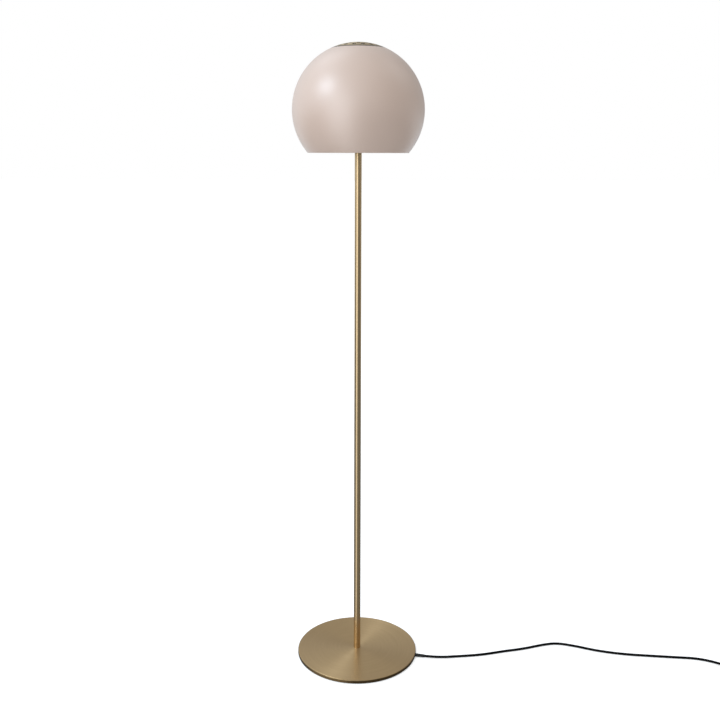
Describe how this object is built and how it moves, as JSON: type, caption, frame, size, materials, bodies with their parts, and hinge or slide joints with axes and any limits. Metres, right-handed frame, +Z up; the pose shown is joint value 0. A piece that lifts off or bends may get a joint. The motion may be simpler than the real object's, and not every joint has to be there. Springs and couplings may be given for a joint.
{
  "type": "floor lamp",
  "caption": "Floor lamp with a spherical open-bottom metal shade, perforated brass vent cap, straight brass stem, round brass base and a black cord with foot switch.",
  "frame": {"origin": "on the floor, at the centre of the base's underside", "axes": "+Z up along the stem, +X to the right in the picture, towards the side where the cord leaves the base; the picture was taken from -Y"},
  "size_m": [1.1478, 0.4816, 1.443],
  "materials": {
    "foam": "dense closed-cell foam, matt",
    "base_brass": "circular-brushed, clear-lacquered",
    "stem_brass": "brushed along its length, clear-lacquered",
    "cap_brass": "brushed and clear-lacquered",
    "zinc_steel": "zinc-plated, satin",
    "spring_steel": "drawn wire",
    "spider_steel": "white powder coat",
    "shade_lacquer": "satin pink-beige lacquer outside, white inside",
    "opal_glass": "etched opal",
    "nickel": "nickel-plated, bright",
    "terminal_brass": "machined",
    "porcelain": "glazed",
    "holder_plastic": "moulded, fine satin",
    "white_plastic": "moulded",
    "black_plastic": "moulded, fine spark texture",
    "button_plastic": "moulded, semi-gloss",
    "plug_plastic": "moulded, satin",
    "bush_rubber": "moulded, satin",
    "foot_rubber": "moulded, matt",
    "bulb_black": "glass paste",
    "cord": "black braided textile jacket",
    "core_brown": "extruded",
    "core_blue": "extruded",
    "sleeve_white": "woven glass-fibre sleeve",
    "sleeve_black": "moulded, satin"
  },
  "bodies": {
    "lamp": {"base_pad": "foam", "base_plate": "base_brass", "foot_washer": "zinc_steel", "foot_screw": "zinc_steel", "stem_foot": "zinc_steel", "stem_tube": "stem_brass", "stem_head": "zinc_steel", "top_nipple": "zinc_steel", "nipple_nut": "zinc_steel", "cord_bush": "black_plastic", "inner_lead": "cord", "core_live": "core_brown", "core_neutral": "core_blue", "core_sleeve": "sleeve_white", "holder_cap": "holder_plastic", "holder_core": "porcelain", "holder_shell": "holder_plastic", "holder_sleeve": "nickel", "holder_contact": "nickel", "shade_ring": "holder_plastic", "shade_spider": "spider_steel", "shade": "shade_lacquer", "vent_cap": "cap_brass", "cap_washers": "zinc_steel", "cap_nuts": "zinc_steel", "bulb_glass": "opal_glass", "bulb_cap": "nickel", "bulb_insulator": "bulb_black", "bulb_tip": "nickel", "mains_cord": "cord", "switch_lower": "black_plastic", "switch_upper": "black_plastic", "switch_latch": "white_plastic", "switch_spring": "spring_steel", "switch_terminals": "terminal_brass", "switch_bush_in": "bush_rubber", "switch_bush_out": "bush_rubber", "switch_leads": "cord", "switch_screws": "zinc_steel", "switch_feet": "foot_rubber", "switch_lead": "cord", "cord_coil": "cord", "plug_lead": "cord", "plug_boot": "plug_plastic", "plug_body": "plug_plastic", "plug_pins": "nickel", "pin_sleeves": "sleeve_black"},
    "foot_button": {"switch_button": "button_plastic"}
  },
  "joints": [
    {"name": "foot_button_press", "type": "slide", "parent": "lamp", "child": "foot_button", "axis": [0, 0, -1], "range_m": [0, 0.003], "stiffness_N_per_m": 400, "springref_m": -0.004, "deforming": ["switch_spring"]}
  ]
}
